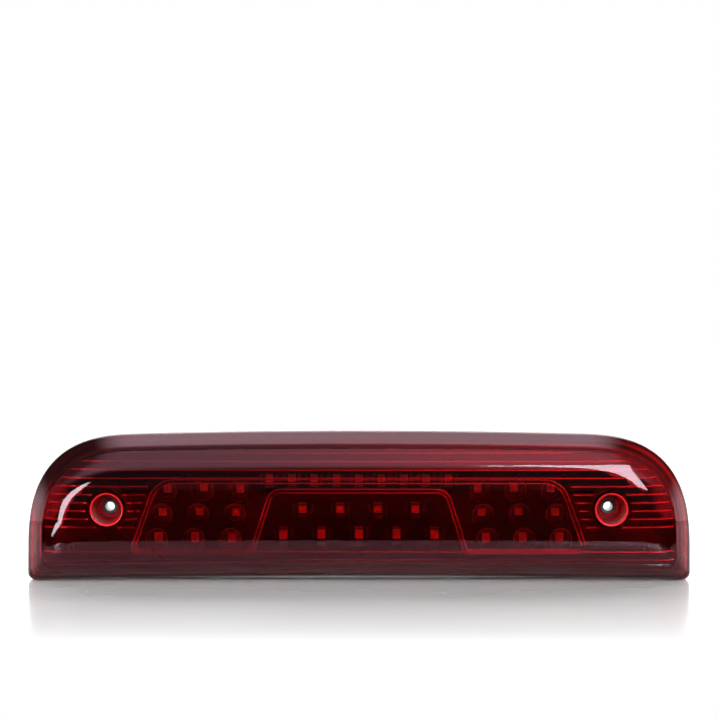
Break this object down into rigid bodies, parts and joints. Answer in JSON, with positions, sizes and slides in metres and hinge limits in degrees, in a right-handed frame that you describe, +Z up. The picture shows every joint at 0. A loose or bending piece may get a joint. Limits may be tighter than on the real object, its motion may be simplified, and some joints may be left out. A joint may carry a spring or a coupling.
{
  "type": "third brake light",
  "caption": "Sealed LED high-mount brake and cargo light for a pickup cab, with a smoked red lens, two deep screw wells and a foam-gasketed housing.",
  "frame": {"origin": "midway between the two mounting screw axes, in the plane of the foam gasket's rear face", "axes": "+X along the lamp, to the right as seen from the lens side; +Y rearwards into the cab; +Z up"},
  "size_m": [0.42, 0.0669, 0.095],
  "materials": {
    "smoked_red_lens": "glossy",
    "housing_black": "fine moulded texture",
    "sealant_black": "satin",
    "foam_grey": "matte foam",
    "bezel_smoke": "glossy",
    "reflector_smoke": "smoked chrome",
    "board_green": "solder mask",
    "led_package": "satin",
    "chip_black": "matte",
    "capacitor_can": "satin",
    "nylon_white": "satin",
    "lead_red": "satin",
    "lead_black": "satin",
    "screw_zinc": "yellow zinc",
    "screw_black": "black oxide",
    "sleeve_steel": "bright zinc",
    "terminal_tin": "bright",
    "seal_silicone": "matte",
    "o_ring_black": "matte",
    "membrane_white": "matte"
  },
  "bodies": {
    "root": {"outer_lens": "smoked_red_lens", "rear_housing": "housing_black", "lens_sealant": "sealant_black", "mounting_gasket": "foam_grey", "inner_bezel": "bezel_smoke", "centre_reflector": "reflector_smoke", "strip_reflector": "reflector_smoke", "left_cargo_reflector": "reflector_smoke", "right_cargo_reflector": "reflector_smoke", "centre_circuit_board": "board_green", "left_cargo_board": "board_green", "right_cargo_board": "board_green", "centre_leds": "led_package", "strip_leds": "led_package", "left_cargo_leds": "led_package", "right_cargo_leds": "led_package", "chip_resistors": "chip_black", "polarity_diodes": "chip_black", "current_regulators": "chip_black", "filter_capacitors": "capacitor_can", "board_sockets": "nylon_white", "lead_plugs": "nylon_white", "supply_leads": "lead_red", "jumper_leads": "lead_black", "board_screws": "screw_zinc", "bezel_screws": "screw_black", "connector_header": "housing_black", "header_terminals": "terminal_tin", "header_seal": "seal_silicone", "vent_cap": "housing_black", "vent_membrane": "membrane_white", "screw_sleeves": "sleeve_steel", "well_o_rings": "o_ring_black"}
  },
  "joints": []
}
